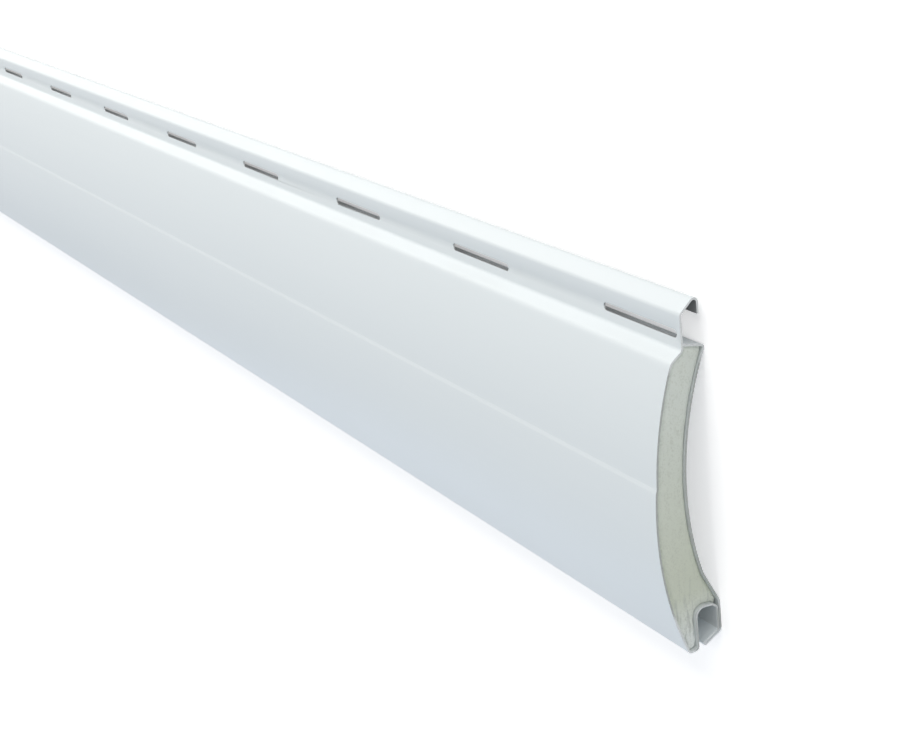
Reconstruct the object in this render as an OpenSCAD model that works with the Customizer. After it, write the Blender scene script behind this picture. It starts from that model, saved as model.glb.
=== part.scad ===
// Roller shutter slat: one strip of painted sheet, roll-formed around a foam core.
// The slat lies on its back. X runs along its length, Y from the bottom edge up to
// the hook, and Z from the back to the front face.
// Section points are [height above the bottom edge, distance from the back plane],
// and lie on the middle line of the sheet.

/* [Stock] */
// Length of the cut slat
slat_l = 1000; // [200:10:1200]
// Thickness of the sheet
sheet_t = 0.4; // [0.3:0.05:0.5]

/* [Front face] */
// Thickness of the section, from the back plane to the front face's crown
section_t = 12.65; // [12:0.05:13.5]
// Radius of the front face below the crease
front_r = 69; // [62:1:76]
// Height of the front face's crown
crown_h = 26; // [23:0.5:29]
// Radius of the front face above the crease
upper_r = 66; // [60:1:72]
// Lean of the upper face at the crease in degrees
upper_lean = 2.7; // [2:0.1:3.4]
// Height of the shoulder at the top of the front face
shoulder_h = 55.8; // [50:0.1:60]
// Bend radius of the shoulder
shoulder_r = 2.2; // [1.4:0.1:2.6]
// Height of the crease that runs along the front face
crease_h = 34; // [30:0.5:40]
// Width of the crease
crease_w = 0.8; // [0.6:0.05:1.2]
// Step in the front face at the crease
crease_step = 0.25; // [0.15:0.05:0.35]
// Height of the straight foot of the front face
foot_h = 5.5; // [4.5:0.5:7]
// Width of the front lip, from the pocket's front wall to the foot of the face
front_lip_w = 2; // [1.7:0.05:2.4]

/* [Back] */
// Radius of the hollow back
back_r = 59; // [54:1:66]
// Distance from the deepest line of the hollow back up to the top corner
back_rise = 25.6; // [23:0.05:28]
// Bend radius of the top corner
top_corner_r = 0.5; // [0.4:0.05:0.7]
// Distance of the top corner below the root of the web
top_corner_drop = 0.3; // [0:0.05:0.5]
// Distance from the root of the web up to the top wall's edge
top_wall_rise = 1.05; // [0.9:0.05:1.3]
// Height of the ramp between the pocket's rear wall and the hollow back
ramp_rise = 6.6; // [5.5:0.1:8]
// Distance of the ramp's foot below the pocket's top
ramp_drop = 0.5; // [0.2:0.05:0.6]

/* [Hook] */
// Height of the head, from the shoulder to the top of the hook
head_h = 10.2; // [9.2:0.1:11.2]
// Depth of the web behind the shoulder
shoulder_step = 2.55; // [2.2:0.05:2.9]
// Height of the slope between the shoulder and the root of the web
shoulder_rise = 1.6; // [1.4:0.1:1.9]
// Bend radius at the root of the web
root_r = 1; // [0.7:0.05:1.2]
// Depth of the hook, from the web to the return leg
hook_depth = 3.65; // [3.3:0.05:3.9]
// Slope of the diagonal between the web and the hook's curl in degrees
hook_slope = 52; // [46:1:58]
// Radius of the hook's curl
hook_r = 0.8; // [0.6:0.1:1]
// Height of the hook, from its free edge to its top
hook_leg = 3; // [2.6:0.1:3.6]

/* [Pocket] */
// Distance from the back plane to the pocket's front wall
pocket_wall_z = 5.45; // [5.2:0.05:6]
// Height of the pocket's top wall at the front
pocket_top_h = 8.6; // [8:0.1:9.4]
// Fall of the pocket's top wall from front to rear
pocket_fall = 0.7; // [0.4:0.1:1]
// Width of the mouth that the next slat's web passes through
pocket_mouth = 0.9; // [0.8:0.05:1.2]
// Lean of the rear lip in degrees
lip_lean = 24; // [20:1:28]
// Height of the rear lip's edge
lip_h = 0.25; // [0.2:0.05:0.5]
// Clearance between the two layers of the rear wall
fold_gap = 0.12; // [0.1:0.02:0.2]

/* [Slots] */
// Length of a light slot
slot_l = 20; // [16:1:30]
// Width of a light slot
slot_w = 1.5; // [1.2:0.1:1.9]
// Distance from slot to slot
slot_pitch = 50; // [40:1:60]
// Height of the row of slots above the root of the web
slot_rise = 2.75; // [2.5:0.05:3]
// Distance from the cut end to the first slot
slot_margin = 1; // [1:0.5:20]

/* [Hidden] */

// Bend radii
tight_r = 0.6;
corner_r = 0.9;
pocket_r = 1.7;
lip_r = 1.2;
front_lip_r = 0.9;
crease_r = 1;
foot_r = 4;
ramp_foot_r = 2;
ramp_top_r = 3;
fold_slack = 0.02;
// How far the foam runs down the pocket's chamfer, and where it stops above the ramp's foot
foam_reach = 0.75;
foam_stop = 0.09;
// Turn of each short facet in a bend, and length of each facet on the curved faces
bend_step = 9;
face_step = 1.2;

half_t = sheet_t / 2;
fold = sheet_t + fold_gap;
section_h = shoulder_h + head_h;

// Number of slots that fit, and the distance from the middle of the slat to the first one
slot_count = floor((slat_l - 2 * slot_margin - slot_l) / slot_pitch) + 1;
slot_first = slat_l / 2 - slot_margin - slot_l / 2;

// Front face, made of two arcs with the crease's step between them
lower_line_r = front_r - half_t;
lower_centre = [crown_h, section_t - front_r];
crease_foot = on_circle(crease_h - crease_w / 2, lower_line_r, lower_centre);
crease_top = crease_foot + [crease_w, -crease_step];
upper_line_r = upper_r - half_t;
upper_centre = crease_top - upper_line_r * [sin(upper_lean), cos(upper_lean)];
shoulder = on_circle(shoulder_h, upper_line_r, upper_centre);
front_foot = on_circle(foot_h, lower_line_r, lower_centre);
front_lip = [half_t, pocket_wall_z + front_lip_w];

// Web and hook
web_root = [shoulder_h + shoulder_rise, shoulder[1] - shoulder_step];
web_z = web_root[1];
slot_h = web_root[0] + slot_rise;
hook_z = web_z - hook_depth;
// Where the curl runs into the diagonal, and the diagonal's corners on the web and on the leg
curl_end = [
    section_h - half_t - hook_r + hook_r * sin(hook_slope),
    hook_z + hook_r + hook_r * cos(hook_slope)
];
web_top = [curl_end[0] - (web_z - curl_end[1]) / tan(hook_slope), web_z];
leg_top = [curl_end[0] + (curl_end[1] - hook_z) / tan(hook_slope), hook_z];

// Back and top wall
top_corner = [web_root[0] - top_corner_drop, 0];
top_wall_end = web_root + [top_wall_rise, 0];
top_wall = unit(top_wall_end - top_corner);
back_line_r = back_r + half_t;
back_centre = [top_corner[0] - back_rise, -sqrt(back_line_r ^ 2 - back_rise ^ 2)];
ramp_foot = [pocket_top_h - ramp_drop, half_t];
ramp_top = on_circle(ramp_foot[0] + ramp_rise, back_line_r, back_centre);

// Rear lip, whose two layers are joined by a fold at the mouth
lip_up = [-sin(lip_lean), cos(lip_lean)];
lip_in = [cos(lip_lean), sin(lip_lean)];
outer_lip = [
    lip_h + half_t * cos(lip_lean),
    pocket_wall_z - sheet_t - pocket_mouth - fold * sin(lip_lean)
];
inner_lip = outer_lip + fold * lip_in;
outer_foot = outer_lip - lip_up * (outer_lip[1] - half_t) / cos(lip_lean);
inner_foot = inner_lip - lip_up * (inner_lip[1] - half_t - fold) / cos(lip_lean);
fold_r = fold / 2 - fold_slack;

// Pocket's top wall, which turns into the rear wall's inner layer over a chamfer
chamfer = [corner_r, corner_r + sheet_t / 5];
rear_foot = [pocket_top_h - pocket_fall - chamfer[0], half_t + fold];
rear_top = rear_foot + chamfer;

// Ends of the foam at the pocket, as shares of the chamfer and of the ramp, and its corner
// between the web and the top wall
foam_end_front = rear_top + foam_reach * (rear_foot - rear_top);
foam_end_back = ramp_top + (1 - foam_stop) * (ramp_foot - ramp_top);
inner_top = top_corner + left_of(top_wall) * half_t;
foam_top = [
    inner_top[0] + (web_z - half_t - inner_top[1]) * top_wall[0] / top_wall[1],
    web_z
];

function unit(v) = v / norm(v);
function left_of(v) = [-v[1], v[0]];
function turned(v, a) = [v[0] * cos(a) - v[1] * sin(a), v[0] * sin(a) + v[1] * cos(a)];
function place(corner) = [corner[0], corner[1]];
function bent(p, r) = [p[0], p[1], r];
function plain(p) = bent(p, 0);
function reversed(list) = [for (i = [len(list) - 1 : -1 : 0]) list[i]];
function without_first(list) = [for (i = [1 : len(list) - 1]) list[i]];
function without_last(list) = [for (i = [0 : len(list) - 2]) list[i]];

// The point of a circle's upper half at height h
function on_circle(h, r, centre) = [h, centre[1] + sqrt(r ^ 2 - (h - centre[0]) ^ 2)];

// Corners along a circle's upper half, from height h0 to height h1
function face_corners(h0, h1, r, centre) =
    let (count = ceil(abs(h1 - h0) / face_step))
    [for (i = [0 : count]) plain(on_circle(h0 + (h1 - h0) * i / count, r, centre))];

// Points of the bend at corner b, on the way from a to c
function bend(a, b, c, r) =
    let (
        go = unit(b - a),
        leave = unit(c - b),
        turn = atan2(cross(go, leave), go * leave),
        side = turn < 0 ? -1 : 1,
        start = b - go * r * tan(abs(turn) / 2),
        centre = start + left_of(go) * side * r,
        count = max(2, ceil(abs(turn) / bend_step))
    )
    r == 0 ? [b] : [for (i = [0 : count]) centre + turned(start - centre, turn * i / count)];

// The middle line of the sheet through corners of [height, distance, bend radius]
function sheet_line(corners) =
    let (last = len(corners) - 1)
    [for (i = [0 : last]) each
        i == 0 || i == last
            ? [place(corners[i])]
            : bend(place(corners[i - 1]), place(corners[i]), place(corners[i + 1]), corners[i][2])
    ];

// A line moved sideways by d, to its left where d is positive
function side_line(line, d) =
    let (last = len(line) - 1)
    [for (i = [0 : last])
        let (
            go = unit(line[max(i, 1)] - line[max(i, 1) - 1]),
            leave = unit(line[min(i, last - 1) + 1] - line[min(i, last - 1)]),
            along = unit(go + leave)
        )
        line[i] + left_of(along) * d / (along * leave)
    ];

// Outline of the sheet around a middle line
function sheet_outline(line) = concat(side_line(line, half_t), reversed(side_line(line, -half_t)));

// Hook, from its free edge to the web
hook_line = sheet_line([
    [section_h - hook_leg, hook_z, 0],
    bent(leg_top, hook_r),
    bent(web_top, hook_r),
    plain(foam_top)
]);

// Web, shoulder, front face, front lip and the pocket's front and top walls
front_line = sheet_line(concat(
    [plain(foam_top), bent(web_root, root_r), bent(shoulder, shoulder_r)],
    face_corners(shoulder_h - face_step, crease_top[0] + crease_r, upper_line_r, upper_centre),
    [bent(crease_top, crease_r), bent(crease_foot, crease_r)],
    face_corners(crease_foot[0] - crease_r, foot_h + face_step, lower_line_r, lower_centre),
    [bent(front_foot, foot_r), bent(front_lip, front_lip_r)],
    [[half_t, pocket_wall_z, tight_r], [pocket_top_h, pocket_wall_z, pocket_r]],
    [bent(rear_top, tight_r), plain(foam_end_front)]
));

// The rear wall's inner layer, the fold at the lip and the outer layer
lip_line = sheet_line([
    plain(foam_end_front),
    bent(rear_foot, tight_r),
    bent(inner_foot, lip_r - fold),
    bent(inner_lip, fold_r),
    bent(outer_lip, fold_r),
    bent(outer_foot, lip_r),
    bent(ramp_foot, ramp_foot_r),
    plain(foam_end_back)
]);

// Ramp, hollow back and top wall, which ends in the web
back_line = sheet_line(concat(
    [plain(foam_end_back), bent(ramp_top, ramp_top_r)],
    face_corners(ramp_top[0] + face_step, top_corner[0] - face_step, back_line_r, back_centre),
    [bent(top_corner, top_corner_r), plain(top_wall_end)]
));

// Lays a section down and runs it along the slat
module along_slat() {
    translate([-slat_l / 2, -section_h / 2, 0])
        rotate([90, 0, 90])
            linear_extrude(height = slat_l)
                children();
}

// One light slot, with round ends
module light_slot() {
    reach = slot_l / 2 - slot_w / 2;
    for (end = [-reach, reach])
        translate([end, 0, 0])
            cylinder(d = slot_w, h = 4 * sheet_t, center = true, $fn = 48);
    cube([2 * reach, slot_w, 4 * sheet_t], center = true);
}

module slat_skin() {
    color([0.93, 0.94, 0.95])
        difference() {
            along_slat() {
                polygon(sheet_outline(concat(hook_line, without_first(front_line))));
                polygon(sheet_outline(concat(lip_line, without_first(back_line))));
            }
            for (i = [0 : slot_count - 1])
                translate([slot_first - i * slot_pitch, slot_h - section_h / 2, web_z])
                    light_slot();
        }
}

module foam_core() {
    color([0.71, 0.74, 0.70])
        along_slat()
            polygon(concat(side_line(front_line, half_t), without_last(side_line(back_line, half_t))));
}

slat_skin();
foam_core();
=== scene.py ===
"""Dressed model of a roller shutter slat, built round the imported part.

The slat lies on its back. X runs along its length, Y from its bottom edge to its hook, and Z
from the floor up to its curved front. All lengths are in metres.
"""

import logging
import math
from contextlib import contextmanager
from dataclasses import dataclass, field
from enum import Enum
from typing import Any, Callable, Dict, Iterator, List, Optional, Tuple, Union

import bmesh
import bpy
from mathutils import Matrix, Vector
from mathutils.bvhtree import BVHTree
from mathutils.kdtree import KDTree


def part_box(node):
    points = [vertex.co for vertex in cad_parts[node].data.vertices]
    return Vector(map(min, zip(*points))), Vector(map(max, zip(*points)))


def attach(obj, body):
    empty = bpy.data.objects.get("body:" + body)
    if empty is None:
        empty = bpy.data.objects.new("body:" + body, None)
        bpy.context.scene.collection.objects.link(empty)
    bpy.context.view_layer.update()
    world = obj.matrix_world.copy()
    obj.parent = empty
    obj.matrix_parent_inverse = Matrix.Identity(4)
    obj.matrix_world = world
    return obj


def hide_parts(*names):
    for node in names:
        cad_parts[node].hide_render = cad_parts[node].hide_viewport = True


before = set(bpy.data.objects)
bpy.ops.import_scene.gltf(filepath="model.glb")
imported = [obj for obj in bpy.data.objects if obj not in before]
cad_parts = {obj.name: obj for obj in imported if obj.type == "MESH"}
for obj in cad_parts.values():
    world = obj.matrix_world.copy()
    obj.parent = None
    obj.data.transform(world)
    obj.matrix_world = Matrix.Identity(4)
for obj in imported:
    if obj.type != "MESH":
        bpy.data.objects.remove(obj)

LOG = logging.getLogger("slat")

MM = 0.001
BODY = "root"
HALF_LENGTH = 500 * MM
WELD_GAP = 0.001 * MM
FLAT_ANGLE = math.radians(0.05)

# Shares of a face's normal along an axis or along another normal: facing it, lying against it,
# turned half away from it and square to it
FACING = 0.9
AGAINST = 0.7
HALF_AWAY = 0.5
SQUARE = 0.1

# Middle value of a noise pattern, and the places of a Mix node's sockets for colours
NOISE_MIDDLE = 0.5
MIX_SHARE = 0
MIX_COLOURS = (6, 7)
MIX_RESULT = 2

Colour = Tuple[float, float, float]
Point = Tuple[float, float, float]
Operand = Union["Signal", float]
Sockets = Dict[Union[str, int], Any]

WHITE: Colour = (1.0, 1.0, 1.0)


class RecordSlot(Enum):
    """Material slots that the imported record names."""

    PAINT = "white_paint"
    FOAM = "foam"


class End(Enum):
    """The two cut ends of the slat, by the sign of their X."""

    NEAR = 1
    FAR = -1


class Layer(Enum):
    """Places of the skin's finishes in its list of materials."""

    PAINTED = 0
    CUT = 1
    # The strip's reverse lacquer, its dark grey partly painted shade inside the hook
    BACK_COAT_AND_SHADE = 2
    # Darker copy of the paint: painted shade inside the pocket, and the strip's reverse along the
    # foam
    SHADED_PAINT = 3


class Pick(Enum):
    """What a selection in edit mode is made of."""

    FACES = "FACE"
    EDGES = "EDGE"


class Signal:
    """A node's output that takes part in Python expressions."""

    def __init__(self, tree: bpy.types.NodeTree, socket: bpy.types.NodeSocket) -> None:
        """Keeps the tree and the socket."""
        self.tree = tree
        self.socket = socket

    def _math(self, operation: str, first: Operand, second: Operand) -> "Signal":
        """Adds one Math node.

        Args:
            operation: the Math node's operation.
            first: what goes into its first input.
            second: what goes into its second input.

        Returns:
            The node's value.
        """
        node = self.tree.nodes.new("ShaderNodeMath")
        node.operation = operation
        for place, operand in enumerate((first, second)):
            if isinstance(operand, Signal):
                self.tree.links.new(operand.socket, node.inputs[place])
            else:
                node.inputs[place].default_value = operand
        return Signal(self.tree, node.outputs[0])

    def __add__(self, other: Operand) -> "Signal":
        """Sum."""
        return self._math("ADD", self, other)

    def __radd__(self, other: Operand) -> "Signal":
        """Sum with a number in front."""
        return self._math("ADD", other, self)

    def __sub__(self, other: Operand) -> "Signal":
        """Difference."""
        return self._math("SUBTRACT", self, other)

    def __rsub__(self, other: Operand) -> "Signal":
        """Difference from a number in front."""
        return self._math("SUBTRACT", other, self)

    def __mul__(self, other: Operand) -> "Signal":
        """Product."""
        return self._math("MULTIPLY", self, other)

    def __rmul__(self, other: Operand) -> "Signal":
        """Product with a number in front."""
        return self._math("MULTIPLY", other, self)

    def least(self, other: Operand) -> "Signal":
        """The smaller of the two."""
        return self._math("MINIMUM", self, other)

    def most(self, other: Operand) -> "Signal":
        """The larger of the two."""
        return self._math("MAXIMUM", self, other)

    def within(self, low: float, high: float) -> "Signal":
        """The value, held between two bounds."""
        return self.most(low).least(high)

    def share(self, start: float, end: float) -> "Signal":
        """How far the value has come from one mark to the next, from 0 to 1."""
        return ((self - start) * (1.0 / (end - start))).within(0.0, 1.0)


class Bench:
    """Lays out the nodes of one finish."""

    def __init__(self, tree: bpy.types.NodeTree) -> None:
        """Starts from an empty tree."""
        self.tree = tree
        tree.nodes.clear()

    def node(
        self,
        kind: str,
        settings: Optional[Dict[str, Any]] = None,
        sockets: Optional[Sockets] = None,
    ) -> bpy.types.Node:
        """Adds a node.

        Args:
            kind: the node's type.
            settings: its properties, which are set first.
            sockets: values, signals or sockets for its inputs, by name or place.

        Returns:
            The new node.
        """
        made = self.tree.nodes.new(kind)
        for name, value in (settings or {}).items():
            setattr(made, name, value)
        for name, value in (sockets or {}).items():
            source = value.socket if isinstance(value, Signal) else value
            if isinstance(source, bpy.types.NodeSocket):
                self.tree.links.new(source, made.inputs[name])
            else:
                made.inputs[name].default_value = source
        return made

    def signal(self, node: bpy.types.Node, output: Union[str, int] = 0) -> Signal:
        """A node's output as a signal."""
        return Signal(self.tree, node.outputs[output])

    def place(self, scale: Point = (1.0, 1.0, 1.0)) -> bpy.types.NodeSocket:
        """Object coordinates, stretched.

        Args:
            scale: factor on each axis; a small one draws a pattern out along that axis.

        Returns:
            The vector socket.
        """
        coordinates = self.node("ShaderNodeTexCoord")
        mapping = self.node(
            "ShaderNodeMapping",
            sockets={"Vector": coordinates.outputs["Object"], "Scale": scale},
        )
        return mapping.outputs["Vector"]

    def axes(self) -> List[Signal]:
        """Object coordinates as three signals, for X, Y and Z."""
        split = self.node("ShaderNodeSeparateXYZ", sockets={"Vector": self.place()})
        return [self.signal(split, axis) for axis in range(3)]

    def noise(self, vector: bpy.types.NodeSocket, size: float, detail: float) -> Signal:
        """Soft noise from 0 to 1.

        Args:
            vector: the coordinates it reads.
            size: about the width of one blot.
            detail: how many finer layers it has.

        Returns:
            The noise.
        """
        made = self.node(
            "ShaderNodeTexNoise",
            sockets={"Vector": vector, "Scale": 1.0 / size, "Detail": detail},
        )
        return self.signal(made)

    def blend(self, share: Operand, first: Any, second: Any) -> bpy.types.NodeSocket:
        """Mixes two colours.

        Args:
            share: 0 gives the first colour, 1 the second.
            first: a colour or a colour socket.
            second: a colour or a colour socket.

        Returns:
            The mixed colour's socket.
        """
        sockets: Sockets = {MIX_SHARE: share}
        for place, colour in zip(MIX_COLOURS, (first, second)):
            sockets[place] = (*colour, 1.0) if isinstance(colour, tuple) else colour
        made = self.node("ShaderNodeMix", {"data_type": "RGBA"}, sockets)
        return made.outputs[MIX_RESULT]

    def bump(
        self, height: Signal, distance: float, strength: float = 1.0
    ) -> bpy.types.NodeSocket:
        """Fine relief for a shader's normal.

        Args:
            height: the relief, about from 0 to 1.
            distance: its real height.
            strength: how much of it shows.

        Returns:
            The normal's socket.
        """
        made = self.node(
            "ShaderNodeBump",
            sockets={"Strength": strength, "Distance": distance, "Height": height},
        )
        return made.outputs["Normal"]

    def seen_rays(self) -> Signal:
        """1 for rays that show the background, straight or by reflection, and 0 for light.

        Returns:
            The mask.
        """
        path = self.node("ShaderNodeLightPath")
        camera = self.signal(path, "Is Camera Ray")
        glossy = self.signal(path, "Is Glossy Ray")
        through = self.signal(path, "Is Transmission Ray")
        return (camera + glossy + through).least(1.0)

    def surface(self, shader: bpy.types.Node) -> None:
        """Ends a material with its shader."""
        self.node("ShaderNodeOutputMaterial", sockets={"Surface": shader.outputs[0]})


def new_material(name: str) -> bpy.types.Material:
    """Adds a material with nodes.

    Args:
        name: its name.

    Returns:
        The material.
    """
    made = bpy.data.materials.new(name)
    made.use_nodes = True
    return made


@dataclass(frozen=True)
class SatinPaint:
    """Baked-on white paint of the rolled strip."""

    label: str = "satin_white_paint"
    colour: Colour = (0.776, 0.830, 0.848)
    shade: Colour = (0.756, 0.812, 0.832)
    roughness: float = 0.42
    roughness_spread: float = 0.10
    drift_size: float = 60 * MM
    drift_share: float = 0.6
    streak_size: float = 1.6 * MM
    streak_draw: float = 0.012
    peel_size: float = 0.9 * MM
    peel_share: float = 0.7
    peel_height: float = 0.006 * MM

    def material(self) -> bpy.types.Material:
        """Makes the paint.

        Returns:
            The material.
        """
        made = new_material(self.label)
        bench = Bench(made.node_tree)
        drift = bench.noise(bench.place(), self.drift_size, detail=3.0)
        along = bench.place((self.streak_draw, 1.0, 1.0))
        streak = bench.noise(along, self.streak_size, detail=2.0)
        peel = bench.noise(bench.place(), self.peel_size, detail=1.0)
        tone = drift * self.drift_share + streak * (1.0 - self.drift_share)
        relief = peel * self.peel_share + streak * (1.0 - self.peel_share)
        shader = bench.node(
            "ShaderNodeBsdfPrincipled",
            sockets={
                "Base Color": bench.blend(tone, self.colour, self.shade),
                "Roughness": (tone - NOISE_MIDDLE) * self.roughness_spread + self.roughness,
                "Normal": bench.bump(relief, self.peel_height),
            },
        )
        bench.surface(shader)
        return made


@dataclass(frozen=True)
class CutSheet:
    """Bare aluminium where the strip was sawn or punched, darkened in places with painted shade.

    The painted shade lies beside the foam, between the low and high heights of the shade, and on
    the pocket's front and rear walls, below wall_top and behind wall_front. The lip at the
    pocket's mouth keeps the plain metal colour.
    """

    colour: Colour = (0.56, 0.58, 0.585)
    smear: Colour = (0.40, 0.42, 0.425)
    # The darker pair of colours is painted shade, laid on the metal beside the foam and on the
    # pocket's walls
    shaded_colour: Colour = (0.37, 0.39, 0.38)
    shaded_smear: Colour = (0.24, 0.26, 0.25)
    shade_low: float = -25.0 * MM
    shade_high: float = 22.5 * MM
    shade_fade: float = 1.5 * MM
    wall_top: float = -25.3 * MM
    wall_front: float = 6.4 * MM
    wall_shade: float = 0.8
    lip_top: float = -30.8 * MM
    lip_front: float = 4.5 * MM
    edge_fade: float = 0.4 * MM
    metallic: float = 0.85
    roughness: float = 0.46
    roughness_spread: float = 0.2
    blot_size: float = 1.4 * MM
    blot_share: float = 0.6
    mark_size: float = 0.16 * MM
    mark_draw: float = 0.08
    mark_height: float = 0.012 * MM

    def painted_shade(self, bench: Bench) -> Signal:
        """How much painted shade darkens the metal.

        Args:
            bench: the material's nodes.

        Returns:
            The share of painted shade, from 0 to 1.
        """
        _, height, depth = bench.axes()
        above = height.share(self.shade_low, self.shade_low + self.shade_fade)
        below = height.share(self.shade_high, self.shade_high - self.shade_fade)
        pocket = height.share(self.wall_top, self.wall_top - self.shade_fade)
        behind = depth.share(self.wall_front, self.wall_front - self.edge_fade)
        over_lip = height.share(self.lip_top, self.lip_top + self.edge_fade)
        past_lip = depth.share(self.lip_front, self.lip_front + self.edge_fade)
        walls = pocket * behind * over_lip.most(past_lip) * self.wall_shade
        return (above * below).most(walls)

    def material(self) -> bpy.types.Material:
        """Makes the bare metal with its saw marks.

        Returns:
            The material.
        """
        made = new_material("bare_cut_sheet")
        bench = Bench(made.node_tree)
        across = bench.place((1.0, 1.0, self.mark_draw))
        marks = bench.noise(across, self.mark_size, detail=2.0)
        blots = bench.noise(bench.place(), self.blot_size, detail=2.0)
        dull = blots * self.blot_share + marks * (1.0 - self.blot_share)
        plain_metal = bench.blend(dull, self.colour, self.smear)
        shaded_metal = bench.blend(dull, self.shaded_colour, self.shaded_smear)
        shader = bench.node(
            "ShaderNodeBsdfPrincipled",
            sockets={
                # Painted shade: the metal turns to its darker colours beside the foam and inside
                # the pocket
                "Base Color": bench.blend(self.painted_shade(bench), plain_metal, shaded_metal),
                "Metallic": self.metallic,
                "Roughness": (dull - NOISE_MIDDLE) * self.roughness_spread + self.roughness,
                "Normal": bench.bump(marks, self.mark_height),
            },
        )
        bench.surface(shader)
        return made


@dataclass(frozen=True)
class BackCoatAndShade:
    """Thin grey lacquer on the strip's reverse, which shows inside the hook and behind the web.
    Its dark grey is partly painted shade, standing for the shade deep inside the hook.
    """

    colour: Colour = (0.270, 0.280, 0.285)
    thin: Colour = (0.340, 0.350, 0.355)
    metallic: float = 0.25
    roughness: float = 0.48
    roughness_spread: float = 0.15
    streak_size: float = 0.8 * MM
    streak_draw: float = 0.01
    streak_share: float = 0.5
    blot_size: float = 12 * MM
    film_height: float = 0.004 * MM

    def material(self) -> bpy.types.Material:
        """Makes the lacquer, thinner in streaks along the strip.

        Returns:
            The material.
        """
        made = new_material("grey_back_coat_and_shade")
        bench = Bench(made.node_tree)
        along = bench.place((self.streak_draw, 1.0, 1.0))
        streak = bench.noise(along, self.streak_size, detail=3.0)
        blots = bench.noise(bench.place(), self.blot_size, detail=3.0)
        thinness = streak * self.streak_share + blots * (1.0 - self.streak_share)
        shader = bench.node(
            "ShaderNodeBsdfPrincipled",
            sockets={
                "Base Color": bench.blend(thinness, self.colour, self.thin),
                "Metallic": self.metallic,
                "Roughness": (thinness - NOISE_MIDDLE) * self.roughness_spread + self.roughness,
                "Normal": bench.bump(streak, self.film_height),
            },
        )
        bench.surface(shader)
        return made


@dataclass(frozen=True)
class RigidFoam:
    """Greenish grey insulating foam, open-celled where the saw went through it.

    Its tone turns from lower to upper between the turn heights, and to foot between the foot
    heights. Dark streaks of painted shade, standing for the shade in torn gashes, show towards
    torn_low.
    """

    upper: Colour = (0.630, 0.670, 0.620)
    lower: Colour = (0.555, 0.590, 0.495)
    # Dark colour of the painted shade in the cell pits
    pore_shade: Colour = (0.440, 0.465, 0.400)
    foot: Colour = (0.690, 0.725, 0.700)
    # Dark colour of the painted shade in the torn gashes
    gash_shade: Colour = (0.340, 0.365, 0.345)
    turn_low: float = -16 * MM
    turn_high: float = 16 * MM
    foot_low: float = -30.0 * MM
    foot_high: float = -21.0 * MM
    torn_low: float = -25.0 * MM
    torn_high: float = -15.0 * MM
    gash_shade_start: float = 0.54
    gash_shade_gain: float = 3.5
    gash_shade_most: float = 0.45
    cell_size: float = 0.42 * MM
    cell_reach: float = 0.55
    cell_gain: float = 0.7
    cell_height: float = 0.09 * MM
    mottle_size: float = 2.2 * MM
    mottle_gain: float = 0.6
    streak_size: float = 0.7 * MM
    streak_draw: float = 0.12
    streak_gain: float = 0.7
    pore_shade_most: float = 0.5
    relief_mottle: float = 0.6
    relief_strength: float = 0.5
    roughness: float = 0.86
    roughness_spread: float = 0.12
    specular: float = 0.25

    def body(self, bench: Bench, height: Signal) -> bpy.types.NodeSocket:
        """The foam's tone, from the foot to the top.

        Args:
            bench: the material's nodes.
            height: the place along Y.

        Returns:
            The colour's socket.
        """
        rise = height.share(self.turn_low, self.turn_high)
        foot_rise = height.share(self.foot_low, self.foot_high)
        return bench.blend(foot_rise, self.foot, bench.blend(rise, self.lower, self.upper))

    def material(self) -> bpy.types.Material:
        """Makes the foam with its cells and saw streaks, and painted shade in its cell pits and
        torn gashes.

        Returns:
            The material.
        """
        made = new_material("rigid_foam")
        bench = Bench(made.node_tree)
        height = bench.axes()[1]
        cells = bench.node(
            "ShaderNodeTexVoronoi",
            {"feature": "F1"},
            {"Vector": bench.place(), "Scale": 1.0 / self.cell_size, "Randomness": 1.0},
        )
        distance = bench.signal(cells, "Distance")
        mottle = bench.noise(bench.place(), self.mottle_size, detail=4.0)
        drawn = bench.place((1.0, self.streak_draw, 1.0))
        streak = bench.noise(drawn, self.streak_size, detail=2.0)
        blotch = (mottle - NOISE_MIDDLE) * self.mottle_gain
        scratch = (streak - NOISE_MIDDLE) * self.streak_gain
        # Painted shade in the cell pits, darker towards each cell's middle, mixed with random
        # mottle and saw streaks
        pore_shade_and_mottle = (self.cell_reach - distance) * self.cell_gain + blotch + scratch
        body = self.body(bench, height)
        shaded_body = bench.blend(pore_shade_and_mottle.within(0.0, self.pore_shade_most), body, self.pore_shade)
        # Painted shade: dark streaks stand for the shade in the torn gashes, growing towards the
        # foot
        gash_shades = ((streak - self.gash_shade_start) * self.gash_shade_gain).within(0.0, self.gash_shade_most)
        torn = height.share(self.torn_high, self.torn_low)
        relief = distance + mottle * self.relief_mottle
        shader = bench.node(
            "ShaderNodeBsdfPrincipled",
            sockets={
                "Base Color": bench.blend(gash_shades * torn, shaded_body, self.gash_shade),
                "Roughness": (mottle - NOISE_MIDDLE) * self.roughness_spread + self.roughness,
                "Specular IOR Level": self.specular,
                "Normal": bench.bump(relief, self.cell_height, self.relief_strength),
            },
        )
        bench.surface(shader)
        return made


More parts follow.
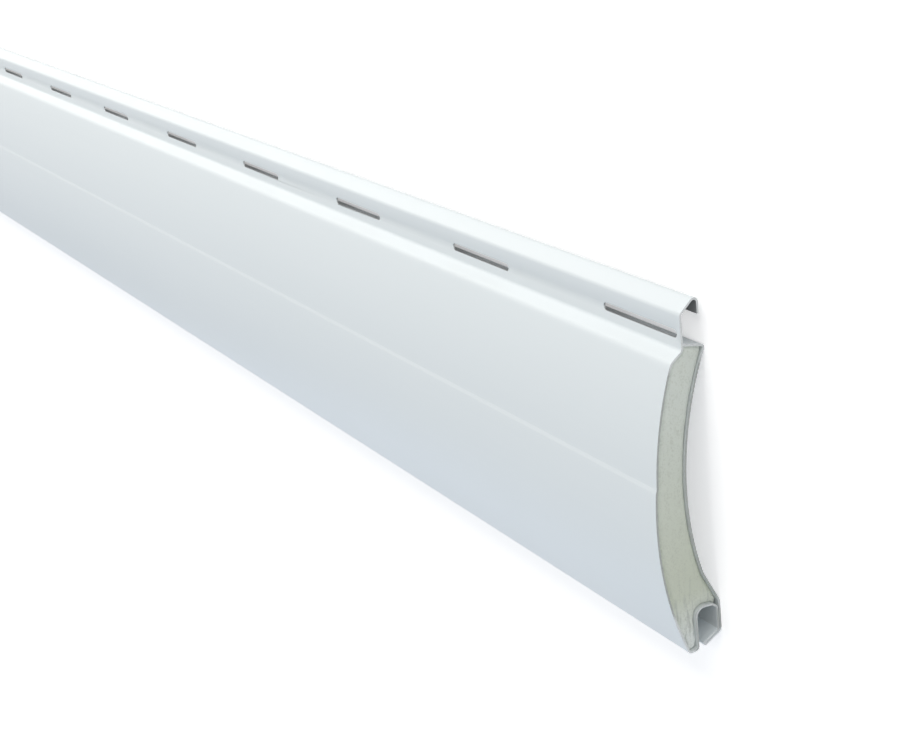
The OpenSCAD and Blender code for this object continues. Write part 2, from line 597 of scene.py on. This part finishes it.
@dataclass(frozen=True)
class PaleFloor:
    """Pale studio floor that reads white to the camera and keeps the slat's shadow."""

    colour: Colour = (0.90, 0.90, 0.90)
    roughness: float = 0.5
    lift: float = 0.42
    far_lift: float = 0.40
    lift_start: float = 0.7
    lift_end: float = 2.4

    def material(self) -> bpy.types.Material:
        """Makes the floor's finish, lifted more where the lamps fall off.

        Returns:
            The material.
        """
        made = new_material("pale_floor")
        bench = Bench(made.node_tree)
        along, across, _ = bench.axes()
        spread = along * along + across * across
        far = spread.share(self.lift_start**2, self.lift_end**2)
        matt = bench.node(
            "ShaderNodeBsdfDiffuse",
            sockets={"Color": (*self.colour, 1.0), "Roughness": self.roughness},
        )
        glow = bench.node(
            "ShaderNodeEmission",
            sockets={
                "Color": (*WHITE, 1.0),
                "Strength": bench.seen_rays() * (far * self.far_lift + self.lift),
            },
        )
        both = bench.node(
            "ShaderNodeAddShader",
            sockets={0: matt.outputs[0], 1: glow.outputs[0]},
        )
        bench.surface(both)
        return made


def deselect() -> None:
    """Leaves every object deselected, in object mode."""
    if bpy.context.mode != "OBJECT":
        bpy.ops.object.mode_set(mode="OBJECT")
    bpy.ops.object.select_all(action="DESELECT")


def make_active(piece: bpy.types.Object) -> None:
    """Selects one object alone.

    Args:
        piece: the object that the next operators act on.
    """
    deselect()
    piece.select_set(True)
    bpy.context.view_layer.objects.active = piece


@contextmanager
def editing(piece: bpy.types.Object) -> Iterator[None]:
    """Holds a piece in edit mode.

    Args:
        piece: the piece that the operators inside act on.

    Returns:
        A context that ends in object mode.
    """
    make_active(piece)
    bpy.ops.object.mode_set(mode="EDIT")
    yield
    bpy.ops.object.mode_set(mode="OBJECT")


def copy_of_node(node: str, name: str) -> bpy.types.Object:
    """Copies a CAD node into a piece of its own, with shared corners and whole flat faces.

    Args:
        node: the CAD node's name.
        name: the new piece's name.

    Returns:
        The piece, at the origin.
    """
    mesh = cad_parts[node].data.copy()
    mesh.name = name
    mesh.materials.clear()
    piece = bpy.data.objects.new(name, mesh)
    bpy.context.scene.collection.objects.link(piece)
    with editing(piece):
        bpy.ops.mesh.select_all(action="SELECT")
        bpy.ops.mesh.remove_doubles(threshold=WELD_GAP)
        bpy.ops.mesh.dissolve_limited(angle_limit=FLAT_ANGLE)
    return piece


def pick(piece: bpy.types.Object, kind: Pick, wanted: Callable[[Any], bool]) -> int:
    """Selects faces or edges of a piece in edit mode, and nothing else.

    Args:
        piece: the piece that is being edited.
        kind: whether faces or edges are selected.
        wanted: says whether a face or an edge is selected.

    Returns:
        How many are selected.
    """
    work = bmesh.from_edit_mesh(piece.data)
    bpy.ops.mesh.select_mode(type=kind.value)
    bpy.ops.mesh.select_all(action="DESELECT")
    items = work.faces if kind is Pick.FACES else work.edges
    chosen = [item for item in items if wanted(item)]
    for item in chosen:
        item.select = True
    work.select_flush_mode()
    bmesh.update_edit_mesh(piece.data)
    return len(chosen)


@dataclass
class SlatSkin:
    """The rolled strip, with eased slot rims and bare cut faces.

    A slot's wall is bare from rim_reach below the web's front. Faces that lie within touch of the
    foam, or look at the pocket's middle from within pocket_reach, get a darker copy of the white
    paint: painted shade inside the pocket, and the strip's reverse along the foam.
    """

    half_length: float = HALF_LENGTH
    web_back: float = 4.3709 * MM
    web_front: float = 4.7709 * MM
    slot_low: float = 26.3 * MM
    slot_high: float = 28.0 * MM
    rim_ease: float = 0.10 * MM
    rim_segments: int = 2
    rim_reach: float = 0.105 * MM
    pocket_middle: Point = (0.0, -28.0 * MM, 2.9 * MM)
    pocket_reach: float = 4.2 * MM
    touch: float = 0.05 * MM
    level_gap: float = 0.01 * MM
    web_margin: float = 1 * MM
    smooth_angle: float = math.radians(30)
    paint: SatinPaint = field(default_factory=SatinPaint)
    cut: CutSheet = field(default_factory=CutSheet)
    back_coat_and_shade: BackCoatAndShade = field(default_factory=BackCoatAndShade)
    # Darker copy of the white paint: painted shade for the pocket's deep inside, and the strip's
    # reverse where it lies against the foam
    shaded_paint: SatinPaint = field(
        default_factory=lambda: SatinPaint(
            label="shaded_paint",
            colour=(0.680, 0.715, 0.715),
            shade=(0.630, 0.665, 0.670),
            roughness=0.50,
        )
    )
    piece: Optional[bpy.types.Object] = None

    def build(self) -> bpy.types.Object:
        """Makes the dressed skin in place of its CAD node.

        The normals that came with the node don't fit the merged corners, so they are dropped.

        Returns:
            The piece.
        """
        self.piece = copy_of_node("slat_skin", "painted_skin")
        self.ease_slot_rims()
        self.dress()
        make_active(self.piece)
        bpy.ops.mesh.customdata_custom_splitnormals_clear()
        bpy.ops.object.shade_smooth_by_angle(angle=self.smooth_angle, keep_sharp_edges=False)
        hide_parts("slat_skin")
        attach(self.piece, BODY)
        return self.piece

    def on_front_rim(self, edge: bmesh.types.BMEdge) -> bool:
        """Finds the edges round the slots, on the web's front.

        Args:
            edge: the edge that is looked at.

        Returns:
            True for an edge between the web's front and a slot's wall.
        """
        for corner in edge.verts:
            if abs(corner.co.z - self.web_front) > self.level_gap:
                return False
            if not self.slot_low < corner.co.y < self.slot_high:
                return False
        tilts = [abs(face.normal.z) for face in edge.link_faces]
        return min(tilts) < HALF_AWAY < max(tilts)

    def ease_slot_rims(self) -> None:
        """Rounds the front rims of the slots, where the punch drew the sheet in."""
        with editing(self.piece):
            count = pick(self.piece, Pick.EDGES, self.on_front_rim)
            bpy.ops.mesh.bevel(offset=self.rim_ease, segments=self.rim_segments, affect="EDGES")
        LOG.info("slot rims eased along %d edges", count)

    def is_cut(self, face: bpy.types.MeshPolygon) -> bool:
        """Finds the faces that the saw or the punch made.

        Args:
            face: the face that is looked at.

        Returns:
            True for a face of a cut end or of a slot's wall.
        """
        at_end = abs(face.center.x) > self.half_length - self.level_gap
        if at_end and abs(face.normal.x) > FACING:
            return True
        in_slot = self.slot_low < face.center.y < self.slot_high
        below_rim = self.web_back < face.center.z < self.web_front - self.rim_reach
        return in_slot and below_rim and abs(face.normal.z) < SQUARE

    def in_pocket(self, face: bpy.types.MeshPolygon) -> bool:
        """Finds the pocket's walls and top, as seen from inside it.

        Args:
            face: the face that is looked at.

        Returns:
            True for a face near the pocket's middle that is turned towards it.
        """
        inward = Vector(self.pocket_middle) - face.center
        inward.x = 0.0
        near = inward.length < self.pocket_reach
        return near and inward.dot(face.normal) > 0.0 and face.normal.y < HALF_AWAY

    def on_foam(self, face: bpy.types.MeshPolygon, foam: BVHTree) -> bool:
        """Finds the faces that lie against the foam.

        Args:
            face: the face that is looked at.
            foam: the foam's surface.

        Returns:
            True where the foam's surface is close and turned the other way.
        """
        normal = foam.find_nearest(face.center, self.touch)[1]
        return normal is not None and normal.dot(face.normal) < -AGAINST

    def layer_of(self, face: bpy.types.MeshPolygon, foam: BVHTree) -> Layer:
        """The finish that a face gets before the web's reverse is coated.

        Args:
            face: the face.
            foam: the foam's surface.

        Returns:
            The finish's layer.
        """
        if self.is_cut(face):
            return Layer.CUT
        # The pocket's inside gets the darker paint as painted shade; faces on the foam get it as
        # the strip's reverse
        if self.on_foam(face, foam) or self.in_pocket(face):
            return Layer.SHADED_PAINT
        return Layer.PAINTED

    def on_web_back(self, face: bmesh.types.BMFace) -> bool:
        """Finds the web's reverse, level with the slots.

        Args:
            face: the face that is looked at.

        Returns:
            True for a face there.
        """
        middle = face.calc_center_median()
        low = self.slot_low - self.web_margin
        high = self.slot_high + self.web_margin
        at_back = abs(middle.z - self.web_back) < self.level_gap
        return low < middle.y < high and at_back and face.normal.z < -FACING

    def dress(self) -> None:
        """Paints the strip, leaves the cut faces bare, gives the pocket's inside and the foam side
        a darker copy of the paint, and coats the reverse grey. The darker paint is painted shade
        inside the pocket, and the reverse's dark grey is partly painted shade for the hollow
        inside the hook.
        """
        mesh = self.piece.data
        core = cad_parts["foam_core"].data
        corners = [corner.co for corner in core.vertices]
        foam = BVHTree.FromPolygons(corners, [face.vertices for face in core.polygons])
        for finish in (self.paint, self.cut, self.back_coat_and_shade, self.shaded_paint):
            mesh.materials.append(finish.material())
        for face in mesh.polygons:
            face.material_index = self.layer_of(face, foam).value
        with editing(self.piece):
            pick(self.piece, Pick.FACES, self.on_web_back)
            bpy.ops.mesh.faces_select_linked_flat(sharpness=self.smooth_angle)
            # The reverse's dark grey is partly painted shade for the deep inside of the hook
            self.piece.active_material_index = Layer.BACK_COAT_AND_SHADE.value
            bpy.ops.object.material_slot_assign()


@dataclass
class FoamCore:
    """The foam in the closed cell, with sawn and torn ends."""

    half_length: float = HALF_LENGTH
    grid: float = 0.45 * MM
    wander_depth: float = 0.40 * MM
    wander_size: float = 4.0 * MM
    pit_depth: float = 0.32 * MM
    pit_size: float = 0.9 * MM
    calm_share: float = 0.35
    calm_above: float = -17.0 * MM
    torn_below: float = -23.5 * MM
    rim_width: float = 1.0 * MM
    rim_depth: float = 0.45 * MM
    smooth_angle: float = math.radians(50)
    foam: RigidFoam = field(default_factory=RigidFoam)
    piece: Optional[bpy.types.Object] = None

    def build(self) -> bpy.types.Object:
        """Makes the dressed foam in place of its CAD node.

        Returns:
            The piece.
        """
        self.piece = copy_of_node("foam_core", "sawn_foam")
        for end in End:
            self.divide_end(end)
            corners = self.end_corners(end)
            self.draw_rim_back(end, corners)
            self.tear_end(end, corners)
        self.piece.data.materials.append(self.foam.material())
        make_active(self.piece)
        bpy.ops.object.shade_smooth_by_angle(angle=self.smooth_angle)
        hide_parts("foam_core")
        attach(self.piece, BODY)
        return self.piece

    def on_end(self, end: End) -> Callable[[bmesh.types.BMFace], bool]:
        """A test for the faces of one end."""
        return lambda face: face.normal.x * end.value > FACING

    def divide_end(self, end: End) -> None:
        """Cuts the end face into a fine grid.

        Args:
            end: which end.
        """
        low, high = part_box("foam_core")
        with editing(self.piece):
            for axis in (1, 2):
                normal = [0.0, 0.0, 0.0]
                normal[axis] = 1.0
                steps = int((high[axis] - low[axis]) / self.grid)
                for step in range(1, steps + 1):
                    point = [end.value * self.half_length, 0.0, 0.0]
                    point[axis] = low[axis] + step * (high[axis] - low[axis]) / (steps + 1)
                    pick(self.piece, Pick.FACES, self.on_end(end))
                    bpy.ops.mesh.bisect(plane_co=point, plane_no=normal)

    def end_corners(self, end: End) -> List[int]:
        """Lists the corners of one end, while it is still flat.

        Args:
            end: which end.

        Returns:
            The corners' numbers.
        """
        level = end.value * self.half_length
        corners = self.piece.data.vertices
        return [corner.index for corner in corners if abs(corner.co.x - level) < WELD_GAP]

    def push_back(
        self,
        group: str,
        strength: float,
        middle: float,
        texture: Optional[bpy.types.Texture] = None,
    ) -> None:
        """Moves the corners of a group along X.

        The group goes by its name, because applying a modifier replaces the piece's groups.

        Args:
            group: the name of the group of corners, with their shares of the way.
            strength: how far a corner goes for a change of 1 in the texture.
            middle: the texture's value that leaves a corner where it is.
            texture: the pattern of the move, which is 1 all over if there is none.
        """
        make_active(self.piece)
        modifier = self.piece.modifiers.new("push_back", "DISPLACE")
        modifier.direction = "X"
        modifier.vertex_group = group
        modifier.strength = strength
        modifier.mid_level = middle
        if texture is not None:
            modifier.texture = texture
            modifier.texture_coords = "LOCAL"
        bpy.ops.object.modifier_apply(modifier=modifier.name)

    def draw_rim_back(self, end: End, corners: List[int]) -> None:
        """Rounds the end off along the skin, where the saw pulled the foam away from it.

        Args:
            end: which end.
            corners: the end's corners.
        """
        mesh = self.piece.data
        rim = set()
        for face in mesh.polygons:
            if abs(face.normal.x) < HALF_AWAY:
                rim.update(face.vertices)
        rim.intersection_update(corners)
        outline = KDTree(len(rim))
        for index in sorted(rim):
            outline.insert(mesh.vertices[index].co, index)
        outline.balance()
        rim_group = f"rim_{end.name.lower()}"
        group = self.piece.vertex_groups.new(name=rim_group)
        for index in corners:
            gap = outline.find(mesh.vertices[index].co)[2]
            pull = max(0.0, 1.0 - gap / self.rim_width)
            group.add([index], pull * pull, "REPLACE")
        self.push_back(rim_group, -self.rim_depth * end.value, 0.0)

    def tear_end(self, end: End, corners: List[int]) -> None:
        """Sets the end's surface back unevenly, with pits where cells were torn open.

        The saw left the foam at the foot, so it tore more there.

        Args:
            end: which end.
            corners: the end's corners.
        """
        label = end.name.lower()
        sawn_group = f"sawn_{label}"
        group = self.piece.vertex_groups.new(name=sawn_group)
        for index in corners:
            drop = self.calm_above - self.piece.data.vertices[index].co.y
            torn = min(max(drop / (self.calm_above - self.torn_below), 0.0), 1.0)
            share = self.calm_share + (1.0 - self.calm_share) * torn
            group.add([index], share, "REPLACE")
        wander = bpy.data.textures.new(f"wander_{label}", "CLOUDS")
        wander.noise_scale = self.wander_size
        pits = bpy.data.textures.new(f"pits_{label}", "VORONOI")
        pits.noise_scale = self.pit_size
        for texture, depth in ((wander, self.wander_depth), (pits, self.pit_depth)):
            self.push_back(sawn_group, depth * end.value, 1.0, texture)
        LOG.info("%s foam end torn at %d corners", label, len(corners))


@dataclass
class SoftLamp:
    """One large soft studio lamp."""

    name: str
    place: Point
    aim: Point
    width: float
    height: float
    power: float
    colour: Colour = WHITE

    def build(self) -> bpy.types.Object:
        """Hangs the lamp.

        Returns:
            The lamp's object.
        """
        data = bpy.data.lights.new(self.name, "AREA")
        data.shape = "RECTANGLE"
        data.size = self.width
        data.size_y = self.height
        data.energy = self.power
        data.color = self.colour
        lamp = bpy.data.objects.new(self.name, data)
        bpy.context.scene.collection.objects.link(lamp)
        lamp.location = self.place
        look = Vector(self.aim) - Vector(self.place)
        lamp.rotation_mode = "QUATERNION"
        lamp.rotation_quaternion = look.to_track_quat("-Z", "Y")
        return lamp


@dataclass
class ViewCamera:
    """The camera, past the near end, on the hook's side and above the slat."""

    place: Point = (0.69344, 0.12644, 0.15522)
    aim: Point = (0.41235, -0.00736, 0.0)
    up: Point = (-0.27171, 0.91540, -0.29702)
    lens: float = 64.0
    sensor_width: float = 36.0
    clip_start: float = 0.01
    clip_end: float = 100.0

    def build(self) -> bpy.types.Object:
        """Sets the camera up and makes it the scene's own.

        Returns:
            The camera's object.
        """
        data = bpy.data.cameras.new("view_camera")
        data.sensor_fit = "HORIZONTAL"
        data.sensor_width = self.sensor_width
        data.lens = self.lens
        data.clip_start = self.clip_start
        data.clip_end = self.clip_end
        camera = bpy.data.objects.new("view_camera", data)
        bpy.context.scene.collection.objects.link(camera)
        back = (Vector(self.place) - Vector(self.aim)).normalized()
        right = Vector(self.up).cross(back).normalized()
        turn = Matrix((right, back.cross(right), back)).transposed().to_4x4()
        camera.matrix_world = Matrix.Translation(self.place) @ turn
        bpy.context.scene.camera = camera
        return camera


@dataclass
class Studio:
    """Floor, soft light and camera."""

    floor_size: float = 60.0
    world_light: float = 0.30
    world_colour: Colour = (0.90, 0.94, 1.0)
    floor: PaleFloor = field(default_factory=PaleFloor)
    camera: ViewCamera = field(default_factory=ViewCamera)
    lamps: List[SoftLamp] = field(
        default_factory=lambda: [
            SoftLamp(
                name="hook_side_strip",
                place=(-1.0, 1.1, 0.5),
                aim=(-1.0, 0.0, 0.0),
                width=5.0,
                height=0.6,
                power=24.8,
                colour=(1.0, 0.96, 0.91),
            ),
            SoftLamp(
                name="overhead_box",
                place=(0.25, 0.15, 1.6),
                aim=(0.25, 0.05, 0.0),
                width=1.4,
                height=1.4,
                power=7.3,
            ),
            SoftLamp(
                name="end_box",
                place=(2.4, 0.10, 0.25),
                aim=(0.5, 0.0, 0.0),
                width=0.5,
                height=0.5,
                power=9.1,
            ),
            SoftLamp(
                name="foot_fill",
                place=(-0.2, -1.2, 0.45),
                aim=(-0.1, 0.0, 0.0),
                width=2.6,
                height=0.5,
                power=4.8,
                colour=(0.66, 0.80, 1.0),
            ),
        ]
    )

    def build(self) -> None:
        """Sets the whole studio up."""
        self.lay_floor()
        self.light_world()
        for lamp in self.lamps:
            lamp.build()
        self.camera.build()
        bpy.context.scene.view_settings.view_transform = "Standard"

    def lay_floor(self) -> None:
        """Lays the floor under the slat."""
        deselect()
        bpy.ops.mesh.primitive_plane_add(size=self.floor_size, location=(0.0, 0.0, 0.0))
        plane = bpy.context.active_object
        plane.name = "studio_floor"
        plane.data.materials.append(self.floor.material())

    def light_world(self) -> None:
        """Gives even light from all round, behind a white background."""
        world = bpy.data.worlds.new("studio_world")
        world.use_nodes = True
        bpy.context.scene.world = world
        bench = Bench(world.node_tree)
        seen = bench.seen_rays()
        light = bench.node(
            "ShaderNodeBackground",
            sockets={
                "Color": bench.blend(seen, self.world_colour, WHITE),
                "Strength": self.world_light + seen * (1.0 - self.world_light),
            },
        )
        bench.node("ShaderNodeOutputWorld", sockets={"Surface": light.outputs[0]})


def main() -> None:
    """Builds the slat and the studio round it."""
    logging.basicConfig(level=logging.INFO, format="%(message)s")
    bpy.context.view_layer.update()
    for part in (FoamCore(), SlatSkin()):
        piece = part.build()
        LOG.info("%s: %d faces", piece.name, len(piece.data.polygons))
    Studio().build()


if __name__ == "__main__":
    main()
